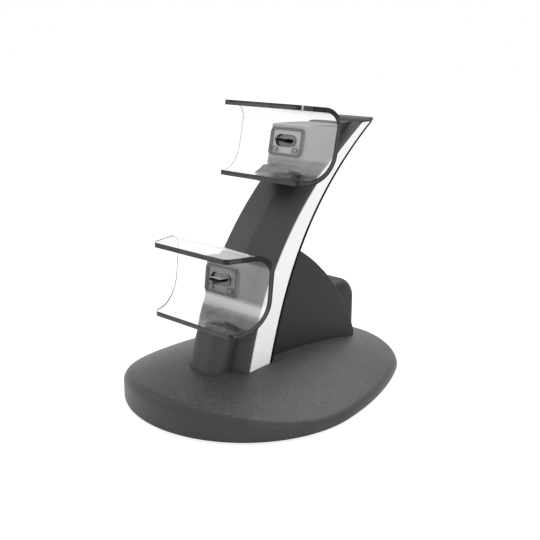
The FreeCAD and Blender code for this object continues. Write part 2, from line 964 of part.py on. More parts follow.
bracket = new_body("bracket_form")
bracket_plan = new_sketch(bracket, "bracket_plan", "XY_Plane")
rectangle(
    bracket_plan,
    NOTHING,
    (S["bracket_rear_y"] - S["bracket_front_y"]) / 2,
    S["pillar_half"] * 2,
    S["bracket_rear_y"] + S["bracket_front_y"],
)
bracket_block = pad(
    bracket, bracket_plan, "bracket_block", block_floor("upper") - S["bracket_bottom"]
)
fillet(
    bracket,
    bracket_block,
    "bracket_nose",
    S["bracket_nose_radius"],
    lambda edge: edge.BoundBox.ZLength > 1.0 and edge.BoundBox.YMax < 0.0,
)
put(bracket, z=S["bracket_bottom"])
cradle_bracket = boolean("Cut", "cradle_bracket", bracket, [bracket_bore, column_hull])


# Base, assembled

plinth = box(
    "plinth",
    (S["plinth_width"] / -2, -S["plinth_front"], S["column_seat"] - S["cover_wall"]),
    (S["plinth_width"] / 2, -S["plinth_rear"], S["crown_height"]),
)
plate_top = foot + S["plate_thickness"]


def along_rim(kind):
    """Four places at one distance inside the rim, each at its angle from straight across."""
    places = []
    for end, way in (("front", -1), ("rear", 1)):
        radius = S[f"{end}_radius"]
        reach = radius - S[f"{kind}_inset"]
        angle = S[f"{kind}_{end}_angle"]
        across = reach * cosine(angle)
        along = S["base_length"] / 2 - radius + reach * sine(angle)
        for side, sign in (("left", -1), ("right", 1)):
            places.append((f"{end}_{side}", across * sign, along * way))
    return places


boss_places = along_rim("base_boss")
base_bosses = [
    cylinder(
        f"base_boss_{name}",
        S["base_boss_diameter"] / 2,
        S["crown_height"] - plate_top,
        x,
        y,
        plate_top,
    )
    for name, x, y in boss_places
]
cavity = boolean("Cut", "base_cavity", inner_base, [plinth] + base_bosses)
cover_form = boolean("Cut", "base_cover_form", outer_base, [cavity])
base_holes = [
    cylinder(
        f"base_boss_hole_{name}",
        S["screw_shank_diameter"] / 2 + S["screw_clearance"] / 2,
        S["base_screw_length"],
        x,
        y,
        foot + S["screw_head_height"],
    )
    for name, x, y in boss_places
]
column_holes = [
    cylinder(
        f"column_screw_hole_{side}",
        S["screw_shank_diameter"] / 2 + S["screw_clearance"] / 2,
        S["crown_height"],
        S["column_boss_x"] * sign,
        -S["column_boss_y"],
    )
    for side, sign in (("left", -1), ("right", 1))
]
base_cover = boolean(
    "Cut",
    "base_cover",
    cover_form,
    [column_hull, pillar_clearance] + base_holes + column_holes,
)

# Base plate, foot pads and the screws in the underside

plate = new_body("plate_form")
plate_outline = base_outline(plate, "plate_outline", plate_margin)
pad(plate, plate_outline, "plate_block", S["plate_thickness"])
pad_places = along_rim("foot_pad")
pad_seats = new_sketch(plate, "pad_seats", "XY_Plane")
for name, x, y in pad_places:
    circle(pad_seats, x, y, S["foot_pad_diameter"] / 2 + S["screw_clearance"])
pocket(plate, pad_seats, "pad_recesses", S["foot_pad_recess"], reversed_way=True)
head_seats = new_sketch(plate, "head_seats", "XY_Plane")
for name, x, y in boss_places:
    circle(head_seats, x, y, S["screw_head_diameter"] / 2 + S["screw_clearance"])
pocket(plate, head_seats, "head_recesses", S["screw_head_height"], reversed_way=True)
shank_holes = new_sketch(plate, "shank_holes", "XY_Plane")
for name, x, y in boss_places:
    circle(shank_holes, x, y, S["screw_shank_diameter"] / 2 + S["screw_clearance"])
pocket(plate, shank_holes, "shank_bores", S["plate_thickness"] * 2, reversed_way=True)
put(plate, z=foot)
base_plate = boolean("Common", "base_plate", plate, [plate_limit])

foot_pads = {}
for name, x, y in pad_places:
    foot_pad = new_body(f"foot_pad_{name}")
    disc = new_sketch(foot_pad, f"foot_pad_{name}_disc", "XY_Plane")
    circle(disc, NOTHING, NOTHING, S["foot_pad_diameter"] / 2)
    block = pad(foot_pad, disc, f"foot_pad_{name}_block", foot + S["foot_pad_recess"])
    fillet(
        foot_pad,
        block,
        f"foot_pad_{name}_edge",
        S["foot_pad_edge"],
        lambda edge: edge.BoundBox.ZMax < 0.01,
    )
    foot_pads[name] = put(foot_pad, x=x, y=y)


def screws(name, role, outer_face, places, head, shank):
    """A group of equal screws with a cross in each head, driven from the sketch's plane."""
    body = new_body(name)
    body.AllowCompound = True
    along = role == "XY_Plane"
    head_radius, head_height = head
    shank_radius, length = shank
    heads = new_sketch(body, f"{name}_heads", role, outer_face)
    for x, y in places:
        circle(heads, x, y, head_radius)
    pad(body, heads, f"{name}_head_block", head_height, reversed_way=not along)
    depth = head_height if along else -head_height
    shanks = new_sketch(body, f"{name}_shanks", role, outer_face + depth)
    for x, y in places:
        circle(shanks, x, y, shank_radius)
    pad(body, shanks, f"{name}_shank_block", length, reversed_way=not along)
    crosses = new_sketch(body, f"{name}_crosses", role, outer_face)
    reach, arm = head_radius * S["cross_reach"], head_radius * S["cross_arm"]
    for x, y in places:
        cross = [
            (-arm, -reach), (arm, -reach), (arm, -arm), (reach, -arm), (reach, arm), (arm, arm),
            (arm, reach), (-arm, reach), (-arm, arm), (-reach, arm), (-reach, -arm), (-arm, -arm),
        ]
        polygon(crosses, [(x + across, y + up) for across, up in cross])
    pocket(body, crosses, f"{name}_recess", head_height * S["cross_depth"], reversed_way=along)
    return body


base_screws = screws(
    "base_screws",
    "XY_Plane",
    foot,
    [(x, y) for name, x, y in boss_places],
    (S["screw_head_diameter"] / 2, S["screw_head_height"]),
    (S["screw_shank_diameter"] / 2, S["base_screw_length"]),
)
column_screws = screws(
    "column_screws",
    "XY_Plane",
    S["column_seat"] - S["cover_wall"] - S["screw_head_height"],
    [(S["column_boss_x"] * sign, -S["column_boss_y"]) for sign in (-1, 1)],
    (S["screw_head_diameter"] / 2, S["screw_head_height"]),
    (S["screw_shank_diameter"] / 2, S["column_screw_length"]),
)


# Cradles
# Each cradle is one clear C-shaped moulding. The plug comes through a slot in its back, two
# screws hold it to the block behind it, and a soft ring in a groove seals the joint. In a
# cradle's own axes +Z runs up its back, and the open side faces -Y.

def leaning(body, side):
    """Puts a piece that is drawn in a cradle's axes in its place."""
    return put(
        body,
        y=S[f"{side}_cradle_y"],
        z=S[f"{side}_cradle_z"],
        lean=S[f"{side}_pitch_angle"],
    )


def cradle_profile(body, side):
    """Draws the C with its two bends and two leaves, seen from the side."""
    sketch = new_sketch(body, f"{side}_cradle_profile", "YZ_Plane")
    thick = S["cradle_wall"]
    top_bend, low_bend = S["upper_bend_radius"], S["lower_bend_radius"]
    top_angle, low_angle = as_size(90) + S["upper_droop_angle"], S["lower_droop_angle"] - 90
    top_centre = (-top_bend, S["cradle_height"] - top_bend)
    low_centre = (-low_bend, low_bend)

    def leaf_end(centre, radius, angle, leaf, turn):
        """The end of a leaf that leaves its bend at an angle."""
        across = centre[0] + radius * cosine(angle) - leaf * sine(angle) * turn
        up = centre[1] + radius * sine(angle) + leaf * cosine(angle) * turn
        return across, up

    tips = [
        leaf_end(top_centre, top_bend, top_angle, S["upper_leaf"], 1),
        leaf_end(top_centre, top_bend - thick, top_angle, S["upper_leaf"], 1),
        leaf_end(low_centre, low_bend - thick, low_angle, S["lower_leaf"], -1),
        leaf_end(low_centre, low_bend, low_angle, S["lower_leaf"], -1),
    ]
    flat = [Vector(across.value, up.value, 0) for across, up in tips]

    def bend(centre, radius, start, end):
        low, high = sorted((start.value, end.value))
        middle = Vector(centre[0].value, centre[1].value, 0)
        return arc_between(middle, radius.value, low, high)

    zero = NOTHING
    bends = [
        bend(top_centre, top_bend, zero, top_angle),
        bend(top_centre, top_bend - thick, zero, top_angle),
        bend(low_centre, low_bend - thick, low_angle, zero),
        bend(low_centre, low_bend, low_angle, zero),
    ]
    for curve in bends:
        sketch.addGeometry(curve, False)
    joints = [
        (bends[3].EndPoint, bends[0].StartPoint),
        (bends[0].EndPoint, flat[0]),
        (flat[0], flat[1]),
        (flat[1], bends[1].EndPoint),
        (bends[1].StartPoint, bends[2].EndPoint),
        (bends[2].StartPoint, flat[2]),
        (flat[2], flat[3]),
        (flat[3], bends[3].StartPoint),
    ]
    for here, there in joints:
        sketch.addGeometry(Part.LineSegment(here, there), False)
    for curve, end, other, start in (
        (3, 2, 4, 1), (4, 2, 0, 1), (0, 2, 5, 1), (7, 2, 1, 2),
        (1, 1, 8, 1), (8, 2, 2, 2), (2, 1, 9, 1), (11, 2, 3, 1),
    ):
        sketch.addConstraint(Sketcher.Constraint("Tangent", curve, end, other, start))
    for curve, other in ((5, 6), (6, 7), (9, 10), (10, 11)):
        sketch.addConstraint(Sketcher.Constraint("Coincident", curve, 2, other, 1))
    for curve, centre, radius in (
        (0, top_centre, top_bend),
        (1, top_centre, top_bend - thick),
        (2, low_centre, low_bend - thick),
        (3, low_centre, low_bend),
    ):
        hold_point(sketch, curve, 3, *centre)
        dimension(sketch, "Radius", curve, value=radius)
    for curve, tip in ((6, tips[0]), (7, tips[1]), (10, tips[2]), (11, tips[3])):
        dimension(sketch, "DistanceX", -1, 1, curve, 1, value=tip[0])
    return sketch


def seal_outline(body, name, play):
    """Draws the seal's path: a rectangle in a rectangle, both with round corners."""
    sketch = new_sketch(body, name, "XZ_Plane")
    for inset in (play, S["seal_width"] - play):
        rounded_rectangle(
            sketch,
            S["seal_middle"],
            S["seal_span"] - inset * 2,
            S["seal_rise"] - inset * 2,
            S["seal_corner_radius"] - inset,
        )
    return sketch


def seal(side):
    """The soft ring that is pressed between a cradle's back and its block."""
    body = new_body(f"{side}_plug_seal")
    ring = seal_outline(body, f"{side}_seal_outline", S["screw_clearance"])
    pad(body, ring, f"{side}_seal_ring", S["seal_depth"])
    return leaning(body, side)


def cradle(side):
    body = new_body(f"{side}_cradle")
    pad(
        body,
        cradle_profile(body, side),
        f"{side}_cradle_trough",
        S["cradle_back_half"] * 2,
        both_ways=True,
    )
    back, tip = S["cradle_back_half"], S["cradle_tip_half"]
    taper = back - tip
    ends = new_sketch(body, f"{side}_cradle_ends", "XY_Plane")
    for sign in (-1, 1):
        polygon(
            ends,
            [
                (back * sign, NOTHING),
                ((back - taper * 2) * sign, back * -2 + taper * 2),
                (back * 2 * sign, back * -2 + taper * 2),
                (back * 2 * sign, NOTHING),
            ],
        )
    trimmed = pocket(
        body, ends, f"{side}_cradle_taper", S["cradle_height"] * 4, both_ways=True
    )
    thick = S["cradle_wall"].value
    fillet(
        body,
        trimmed,
        f"{side}_cradle_corners",
        S["leaf_corner_radius"],
        lambda edge: abs(edge.Length - thick) < 0.05,
    )
    groove = seal_outline(body, f"{side}_cradle_groove", NOTHING)
    pocket(
        body,
        groove,
        f"{side}_cradle_seal_groove",
        S["seal_depth"] + S["screw_clearance"],
        reversed_way=True,
    )
    slot = new_sketch(body, f"{side}_cradle_slot", "XZ_Plane", S["cradle_wall"])
    rounded_slot(slot, NOTHING, S["plug_middle"], S["slot_width"], S["slot_height"])
    pocket(body, slot, f"{side}_cradle_plug_slot", S["cradle_wall"] * 2)
    counterbores = new_sketch(
        body, f"{side}_cradle_counterbores", "XZ_Plane", S["cradle_wall"]
    )
    for sign in (-1, 1):
        circle(
            counterbores,
            S["seat_screw_x"] * sign,
            S["seat_screw_w"],
            S["seat_screw_head"] / 2 + S["screw_clearance"],
        )
    pocket(
        body,
        counterbores,
        f"{side}_cradle_screw_seats",
        S["cradle_wall"] - S["seat_screw_floor"],
    )
    holes = new_sketch(body, f"{side}_cradle_holes", "XZ_Plane", S["cradle_wall"])
    for sign in (-1, 1):
        circle(
            holes,
            S["seat_screw_x"] * sign,
            S["seat_screw_w"],
            S["seat_screw_shank"] / 2 + S["screw_clearance"],
        )
    pocket(body, holes, f"{side}_cradle_screw_holes", S["cradle_wall"] * 2)
    return leaning(body, side)


def connector_block(side):
    """The wedge between a cradle's back and the column."""
    body = new_body(f"{side}_block_form")
    outline = new_sketch(body, f"{side}_block_outline", "YZ_Plane")
    depth = S["block_reach"]
    rise = depth * tangent(S[f"{side}_pitch_angle"])
    low, high = S["block_bottom"], S["block_top"]
    polygon(outline, [(NOTHING, low), (NOTHING, high), (depth, high + rise), (depth, low + rise)])
    wedge = pad(
        body, outline, f"{side}_block_wedge", S["block_width"], both_ways=True
    )
    fillet(
        body,
        wedge,
        f"{side}_block_edges",
        S["block_corner_radius"],
        lambda edge: edge.BoundBox.YMax < 0.01,
    )
    socket = new_sketch(body, f"{side}_block_socket", "XZ_Plane")
    rounded_slot(
        socket,
        NOTHING,
        S["plug_middle"],
        S["collar_width"] + S["fit_gap"] * 2,
        S["collar_height"] + S["fit_gap"] * 2,
    )
    pocket(body, socket, f"{side}_block_collar_socket", S["collar_depth"])
    holes = new_sketch(body, f"{side}_block_holes", "XZ_Plane")
    for sign in (-1, 1):
        circle(
            holes,
            S["seat_screw_x"] * sign,
            S["seat_screw_w"],
            (S["seat_screw_shank"] + S["screw_clearance"]) / 2,
        )
    pocket(body, holes, f"{side}_block_screw_bores", S["seat_screw_length"])
    leaning(body, side)
    return boolean("Cut", f"{side}_connector_block", body, [column_and_behind])


def plug_profile(sketch, middle, width, height, grow):
    """Draws the outline of the plug: a flat top, short straight sides, sloped lower corners."""
    half, tall = width / 2 + grow, height / 2 + grow
    step, slope = S["plug_side_height"], S["plug_corner_width"]
    top, bottom = middle + tall, middle - tall
    polygon(
        sketch,
        [
            (-half, top),
            (-half, top - step),
            (-half + slope, bottom),
            (half - slope, bottom),
            (half, top - step),
            (half, top),
        ],
    )


def plug(side):
    """The plug's metal shell, the plastic tongue in it and the moulded collar at its root."""
    shell = new_body(f"{side}_plug_shell")
    outline = new_sketch(shell, f"{side}_plug_outline", "XZ_Plane")
    plug_profile(outline, S["plug_middle"], S["plug_width"], S["plug_height"], NOTHING)
    pad(shell, outline, f"{side}_plug_block", S["plug_reach"])
    inside_outline = new_sketch(shell, f"{side}_plug_inside", "XZ_Plane", S["plug_reach"])
    plug_profile(
        inside_outline,
        S["plug_middle"],
        S["plug_width"],
        S["plug_height"],
        NOTHING - S["plug_metal_thickness"],
    )
    pocket(shell, inside_outline, f"{side}_plug_bore", S["plug_reach"] * 2)

    tongue = new_body(f"{side}_plug_tongue")
    slab = new_sketch(tongue, f"{side}_tongue_outline", "XZ_Plane")
    rectangle(slab, NOTHING, S["plug_middle"], S["tongue_width"], S["tongue_thickness"])
    pad(tongue, slab, f"{side}_tongue_block", S["plug_reach"] - S["tongue_setback"])

    collar = new_body(f"{side}_plug_collar")
    stadium = new_sketch(collar, f"{side}_collar_outline", "XZ_Plane", S["collar_front"])
    rounded_slot(
        stadium, NOTHING, S["plug_middle"], S["collar_width"], S["collar_height"]
    )
    pad(
        collar,
        stadium,
        f"{side}_collar_block",
        S["collar_front"] + S["collar_depth"],
        reversed_way=True,
    )
    seat = new_sketch(collar, f"{side}_collar_seat", "XZ_Plane", S["collar_front"])
    plug_profile(
        seat, S["plug_middle"], S["plug_width"], S["plug_height"], S["plug_play"]
    )
    pocket(collar, seat, f"{side}_collar_socket", S["collar_front"])
    return [leaning(body, side) for body in (shell, tongue, collar)]


nodes = {
    "base_cover": base_cover,
    "base_plate": base_plate,
    "base_screws": base_screws,
    "column_screws": column_screws,
    "column_front_shell": column_front_shell,
    "column_rear_shell": column_rear_shell,
    "column_top_cap": column_top_cap,
    "cradle_pillar": cradle_pillar,
    "cradle_bracket": cradle_bracket,
}
nodes.update({f"foot_pad_{name}": thing for name, thing in foot_pads.items()})
nodes.update({f"light_strip_{side}": thing for side, thing in strips.items()})
nodes.update({f"led_board_{side}": thing for side, thing in led_boards.items()})
for side in ("upper", "lower"):
    nodes[f"{side}_cradle"] = cradle(side)
    nodes[f"{side}_plug_seal"] = seal(side)
    nodes[f"{side}_connector_block"] = connector_block(side)
    shell, tongue, collar = plug(side)
    nodes[f"{side}_plug_shell"] = shell
    nodes[f"{side}_plug_tongue"] = tongue
    nodes[f"{side}_plug_collar"] = collar
    seat_screws = screws(
        f"{side}_cradle_screws",
        "XZ_Plane",
        S["seat_screw_floor"] + S["seat_screw_head_height"],
        [(S["seat_screw_x"] * sign, S["seat_screw_w"]) for sign in (-1, 1)],
        (S["seat_screw_head"] / 2, S["seat_screw_head_height"]),
        (S["seat_screw_shank"] / 2, S["seat_screw_length"]),
    )
    nodes[f"{side}_cradle_screws"] = leaning(seat_screws, side)


# Rear housing
# A hollow fin behind the column, with a rounded lobe at its foot. The power inlet opens in
# the lobe's rear face and stands on a circuit board that rests on two ledges.

def fin(name, inset):
    """The fin's form, drawn in by an inset."""
    body = new_body(name)
    sketch = new_sketch(body, f"{name}_profile", "YZ_Plane")
    radius = S["fin_radius"] - inset
    centre = (-S["fin_centre_y"], -S["fin_centre_z"])
    rear = S["fin_rear_y"] - inset
    low, high = S["fin_bottom"], S["fin_top"]
    start_angle = math.acos((rear.value - centre[0].value) / radius.value)
    end_angle = math.asin((high.value - centre[1].value) / radius.value)
    arc = arc_between(
        Vector(centre[0].value, centre[1].value, 0),
        radius.value,
        math.degrees(start_angle),
        math.degrees(end_angle),
    )
    front_low, front_high = -S["fin_front_low"], -S["fin_front_high"]
    start, end = arc.StartPoint, arc.EndPoint
    sketch.addGeometry(arc, False)
    corners = [
        end,
        Vector(front_high.value, high.value, 0),
        Vector(front_low.value, low.value, 0),
        Vector(rear.value, low.value, 0),
        start,
    ]
    for here, there in zip(corners, corners[1:]):
        sketch.addGeometry(Part.LineSegment(here, there), False)
    for index in range(5):
        following = (index + 1) % 5
        sketch.addConstraint(Sketcher.Constraint("Coincident", index, 2, following, 1))
    hold_point(sketch, 0, 3, *centre)
    dimension(sketch, "Radius", 0, value=radius)
    hold_point(sketch, 2, 1, front_high, high)
    hold_point(sketch, 3, 1, front_low, low)
    hold_point(sketch, 4, 1, rear, low)
    sketch.addConstraint(Sketcher.Constraint("Horizontal", 1))
    sketch.addConstraint(Sketcher.Constraint("Vertical", 4))
    block = pad(body, sketch, f"{name}_block", (S["fin_half"] - inset) * 2, both_ways=True)
    if inset is NOTHING:
        fillet(
            body,
            block,
            f"{name}_edges",
            S["fin_edge_radius"],
            lambda edge: isinstance(edge.Curve, Part.Circle),
        )
    return body


def lobe(name, inset):
    """The lobe's form, drawn in by an inset."""
    body = new_body(name)
    sketch = new_sketch(body, f"{name}_profile", "YZ_Plane")
    front, rear = S["lobe_front_y"], S["lobe_rear_y"] - inset
    low, high = S["fin_bottom"], S["lobe_top"] - inset
    radius = S["lobe_round"] - inset
    polygon(sketch, [(front, low), (rear, low), (rear, high), (front, high)])
    block = pad(body, sketch, f"{name}_block", (S["lobe_half"] - inset) * 2, both_ways=True)
    rounded = fillet(
        body,
        block,
        f"{name}_round",
        radius,
        lambda edge: edge.BoundBox.ZMin > high.value - 0.01
        and edge.BoundBox.YMin > rear.value - 0.01,
    )
    doc.recompute()
    fillet(
        body,
        rounded,
        f"{name}_edges",
        S["lobe_edge_radius"] - inset,
        lambda edge: edge.BoundBox.XLength < 0.01
        and edge.BoundBox.YMax > front.value + 0.01
        and edge.BoundBox.ZMax > low.value + 0.01,
    )
    return body


housing_wall = S["housing_wall"]
fin_body, lobe_body = fin("fin_outer", NOTHING), lobe("lobe_outer", NOTHING)
fin_inside, lobe_inside = fin("fin_inner", housing_wall), lobe("lobe_inner", housing_wall)
board_low = S["inlet_z"] - S["inlet_height"] / 2 - S["charge_board_thickness"]
ledges = [
    box(
        f"board_ledge_{side}",
        (near, S["lobe_front_y"] + S["ledge_height"], board_low - S["ledge_height"]),
        (far, S["lobe_rear_y"] - S["lobe_round"], board_low),
    )
    for side, near, far in (
        ("left", -S["fin_half"], -S["fin_half"] + housing_wall + S["ledge_width"]),
        ("right", S["fin_half"] - housing_wall - S["ledge_width"], S["fin_half"]),
    )
]
hollow_form = boolean("Fuse", "housing_hollow_form", fin_inside, [lobe_inside])
hollow = boolean("Cut", "housing_hollow", hollow_form, ledges)
housing_form = boolean("Fuse", "housing_form", fin_body, [lobe_body])
opening = new_body("inlet_opening")
opening_outline = new_sketch(opening, "inlet_opening_outline", "XZ_Plane")
rectangle(
    opening_outline,
    NOTHING,
    S["inlet_z"],
    S["inlet_width"] + S["fit_gap"] * 2,
    S["inlet_height"] + S["fit_gap"] * 2,
)
pad(
    opening, opening_outline, "inlet_opening_block", housing_wall * 2, reversed_way=True
)
put(opening, y=S["lobe_rear_y"] - housing_wall * 1.5)
rear_housing = boolean(
    "Cut", "rear_housing", housing_form, [hollow, column_hull, base_clearance, opening]
)
nodes["rear_housing"] = rear_housing

inlet = new_body("power_inlet")
inlet_outline = new_sketch(inlet, "inlet_outline", "XZ_Plane")
plug_profile(inlet_outline, S["inlet_z"], S["inlet_width"], S["inlet_height"], NOTHING)
pad(inlet, inlet_outline, "inlet_block", S["inlet_length"], reversed_way=True)
inlet_inside = new_sketch(inlet, "inlet_inside", "XZ_Plane", -S["inlet_length"])
plug_profile(
    inlet_inside,
    S["inlet_z"],
    S["inlet_width"],
    S["inlet_height"],
    NOTHING - S["inlet_metal_thickness"],
)
pocket(
    inlet,
    inlet_inside,
    "inlet_bore",
    S["inlet_length"] - S["inlet_metal_thickness"] * 2,
    reversed_way=True,
)
inlet_y = S["lobe_rear_y"] - S["inlet_setback"] - S["inlet_length"]
nodes["power_inlet"] = put(inlet, y=inlet_y)

inlet_tongue = new_body("inlet_tongue")
tongue_outline = new_sketch(inlet_tongue, "inlet_tongue_outline", "XZ_Plane")
rectangle(
    tongue_outline, NOTHING, S["inlet_z"], S["tongue_width"], S["tongue_thickness"]
)
pad(
    inlet_tongue,
    tongue_outline,
    "inlet_tongue_block",
    S["inlet_length"] - S["inlet_metal_thickness"] * 2 - S["tongue_setback"],
    reversed_way=True,
)
nodes["inlet_tongue"] = put(inlet_tongue, y=inlet_y + S["inlet_metal_thickness"] * 2)

board_half = S["lobe_half"] - housing_wall - S["board_side_gap"]
nodes["charge_board"] = box(
    "charge_board",
    (-board_half, S["lobe_rear_y"] - S["board_setback"] - S["charge_board_length"], board_low),
    (
        board_half,
        S["lobe_rear_y"] - S["board_setback"],
        board_low + S["charge_board_thickness"],
    ),
)


# Checks and files

doc.recompute()
for thing in doc.Objects:
    if "Invalid" in thing.State or "Error" in thing.State:
        raise RuntimeError(f"{thing.Name} did not build: {thing.State}")
for name, thing in nodes.items():
    thing.Label = name
    if thing.Shape.isNull() or not thing.Shape.isValid() or not thing.Shape.Solids:
        raise RuntimeError(f"{name} has no sound shape")
for name, thing in nodes.items():
    thing.Shape.exportStep(f"parts/{name}.step")
    print(name, len(thing.Shape.Solids), round(thing.Shape.Volume, 1))
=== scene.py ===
import math

import bmesh
import bpy
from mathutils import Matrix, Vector


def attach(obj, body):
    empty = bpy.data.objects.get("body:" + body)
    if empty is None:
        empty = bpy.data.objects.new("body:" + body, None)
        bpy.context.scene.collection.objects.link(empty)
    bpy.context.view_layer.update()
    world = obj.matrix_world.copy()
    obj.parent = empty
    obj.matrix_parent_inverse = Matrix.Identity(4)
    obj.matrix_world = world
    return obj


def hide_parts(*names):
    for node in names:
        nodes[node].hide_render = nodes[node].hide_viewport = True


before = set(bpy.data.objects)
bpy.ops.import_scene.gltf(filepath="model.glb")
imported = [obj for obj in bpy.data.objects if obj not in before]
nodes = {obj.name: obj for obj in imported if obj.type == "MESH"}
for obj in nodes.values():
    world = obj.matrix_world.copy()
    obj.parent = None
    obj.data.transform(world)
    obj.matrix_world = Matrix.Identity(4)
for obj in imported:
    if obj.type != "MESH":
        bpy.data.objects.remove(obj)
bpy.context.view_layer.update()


# The view and the studio
# The dock stands on a white paper sweep in a white tent that lights it evenly. Two soft lamps
# stand in front, one to each side, and a larger, stronger one shines down from behind.
# Places and sizes are in metres.

view_from = Vector((0.25196, -0.28324, 0.16757))
view_turn = math.radians(41.65)
view_drop = math.radians(16.44)
film_width, lens_length = 36.0, 54.2      # in millimetres, as lenses are sold
nearest_seen, farthest_seen = 0.01, 20.0

camera_data = bpy.data.cameras.new("view")
camera_data.sensor_width = film_width
camera_data.lens = lens_length
camera_data.clip_start = nearest_seen
camera_data.clip_end = farthest_seen
camera = bpy.data.objects.new("view", camera_data)
bpy.context.scene.collection.objects.link(camera)
camera.location = view_from
camera.rotation_euler = (math.pi / 2 - view_drop, 0.0, view_turn)
bpy.context.scene.camera = camera
bpy.context.scene.view_settings.view_transform = "Standard"


def soft_lamp(name, place, aim, width, power):
    """A square soft lamp that faces the point it is aimed at."""
    lamp = bpy.data.lights.new(name, "AREA")
    lamp.shape = "RECTANGLE"
    lamp.size = width
    lamp.size_y = width
    lamp.energy = power
    lamp_object = bpy.data.objects.new(name, lamp)
    bpy.context.scene.collection.objects.link(lamp_object)
    lamp_object.location = place
    direction = Vector(aim) - Vector(place)
    lamp_object.rotation_euler = direction.to_track_quat("-Z", "Y").to_euler()


soft_lamp("left_lamp", (-0.65, -0.55, 0.45), (0.0, 0.0, 0.05), width=0.5, power=1.0)
soft_lamp("right_lamp", (0.75, -0.25, 0.35), (0.0, 0.0, 0.06), width=0.4, power=0.8)
soft_lamp("back_lamp", (0.03, 0.5, 0.8), (0.03, -0.03, 0.02), width=0.6, power=5.0)


class Shading:
    """The node tree of a material or world, with short ways to add to it."""

    def __init__(self, owner, output="OutputMaterial"):
        owner.use_nodes = True
        self.tree = owner.node_tree
        self.tree.nodes.clear()
        self.output = self.node(output)

    def give(self, socket, value):
        """Links a socket to an output, or sets it to a plain value."""
        if isinstance(value, bpy.types.NodeSocket):
            self.tree.links.new(value, socket)
        else:
            socket.default_value = value

    def node(self, kind, **values):
        """A node whose sockets are set by name, with _ for each space in the name."""
        node = self.tree.nodes.new(f"ShaderNode{kind}")
        for name, value in values.items():
            self.give(node.inputs[name.replace("_", " ")], value)
        return node

    def reckon(self, kind, *values):
        """The outcome of one step of arithmetic."""
        node = self.tree.nodes.new("ShaderNodeMath")
        node.operation = kind
        for number, value in enumerate(values):
            self.give(node.inputs[number], value)
        return node.outputs[0]

    def product(self, *values):
        """All values multiplied together."""
        total = values[0]
        for value in values[1:]:
            total = self.reckon("MULTIPLY", total, value)
        return total

    def stretch(self, value, low, high, first=0.0, last=1.0):
        """A straight climb from first to last while a value goes from low to high."""
        node = self.node(
            "MapRange", Value=value, From_Min=low, From_Max=high, To_Min=first, To_Max=last
        )
        return node.outputs["Result"]

    def climb(self, value, low, high):
        """A smooth climb from 0 to 1 while a value goes from low to high."""
        node = self.node("MapRange", Value=value, From_Min=low, From_Max=high)
        node.interpolation_type = "SMOOTHSTEP"
        return node.outputs["Result"]

    def tones(self, share, first, last, low=0.0, high=1.0):
        """A colour that goes from first to last while a share goes from low to high."""
        ramp = self.node("ValToRGB", Fac=share)
        stops = ramp.color_ramp.elements
        stops[0].position, stops[1].position = low, high
        stops[0].color, stops[1].color = (*first[:3], 1), (*last[:3], 1)
        return ramp.outputs["Color"]

    def tinted(self, share, first, second):
        """Two colours blended by a share from 0 to 1."""
        node = self.tree.nodes.new("ShaderNodeMix")
        node.data_type = "RGBA"
        for name, value in (("Factor", share), ("A", first), ("B", second)):
            self.give(node.inputs[name], value)
        return node.outputs["Result"]

    def mixed(self, share, first, second):
        """Two shaders blended by a share from 0 to 1."""
        node = self.tree.nodes.new("ShaderNodeMixShader")
        for number, value in enumerate((share, first, second)):
            self.give(node.inputs[number], value)
        return node.outputs[0]

    def parts(self, vector):
        """The X, Y and Z of a vector."""
        return self.node("SeparateXYZ", Vector=vector).outputs

    def finish(self, surface):
        """Puts the finished shader on the output."""
        self.give(self.output.inputs["Surface"], surface)

    def seen_directly(self):
        """Is 1 where the lens, a reflection or clear plastic looks at a surface."""
        path = self.node("LightPath").outputs
        seen = self.reckon("MAXIMUM", path["Is Camera Ray"], path["Is Glossy Ray"])
        return self.reckon("MAXIMUM", seen, path["Is Transmission Ray"])


def grey(level):
    """An even grey, opaque."""
    return (level, level, level, 1)


tent = bpy.data.worlds.new("tent")
bpy.context.scene.world = tent
tent_light, tent_seen = 0.8, 1.0
shading = Shading(tent, "OutputWorld")
tent_glow = shading.node("Background", Color=grey(1), Strength=tent_light)
backdrop = shading.node("Background", Color=grey(1), Strength=tent_seen)
shading.finish(
    shading.mixed(shading.seen_directly(), tent_glow.outputs[0], backdrop.outputs[0])
)

sweep_half = 1.5
sweep_drop = 0.0001
sweep_mesh = bpy.data.meshes.new("sweep")
sweep_corners = [(-1, -1), (1, -1), (1, 1), (-1, 1)]
sweep_mesh.from_pydata(
    [(x * sweep_half, y * sweep_half, 0) for x, y in sweep_corners], [], [(0, 1, 2, 3)]
)
sweep = bpy.data.objects.new("sweep", sweep_mesh)
bpy.context.scene.collection.objects.link(sweep)
sweep.location.z = -sweep_drop
paper_white, paper_seen, paper_glow = 0.8, 0.35, 0.8
paper = bpy.data.materials.new("paper")
shading = Shading(paper)
sheet = shading.node("BsdfDiffuse", Color=grey(paper_white))
pale_sheet = shading.node("BsdfDiffuse", Color=grey(paper_seen))
own_white = shading.node("Emission", Strength=paper_glow)
pale = shading.tree.nodes.new("ShaderNodeAddShader")
shading.give(pale.inputs[0], pale_sheet.outputs[0])
shading.give(pale.inputs[1], own_white.outputs[0])
shading.finish(shading.mixed(shading.seen_directly(), sheet.outputs[0], pale.outputs[0]))
sweep_mesh.materials.append(paper)


# Base cover
# The pebble-shaped foot of the dock, moulded in black ABS. Its dome has a fine eroded grain
# that fades out on the smooth shoulder. It is hollow, and its plinth carries the column.

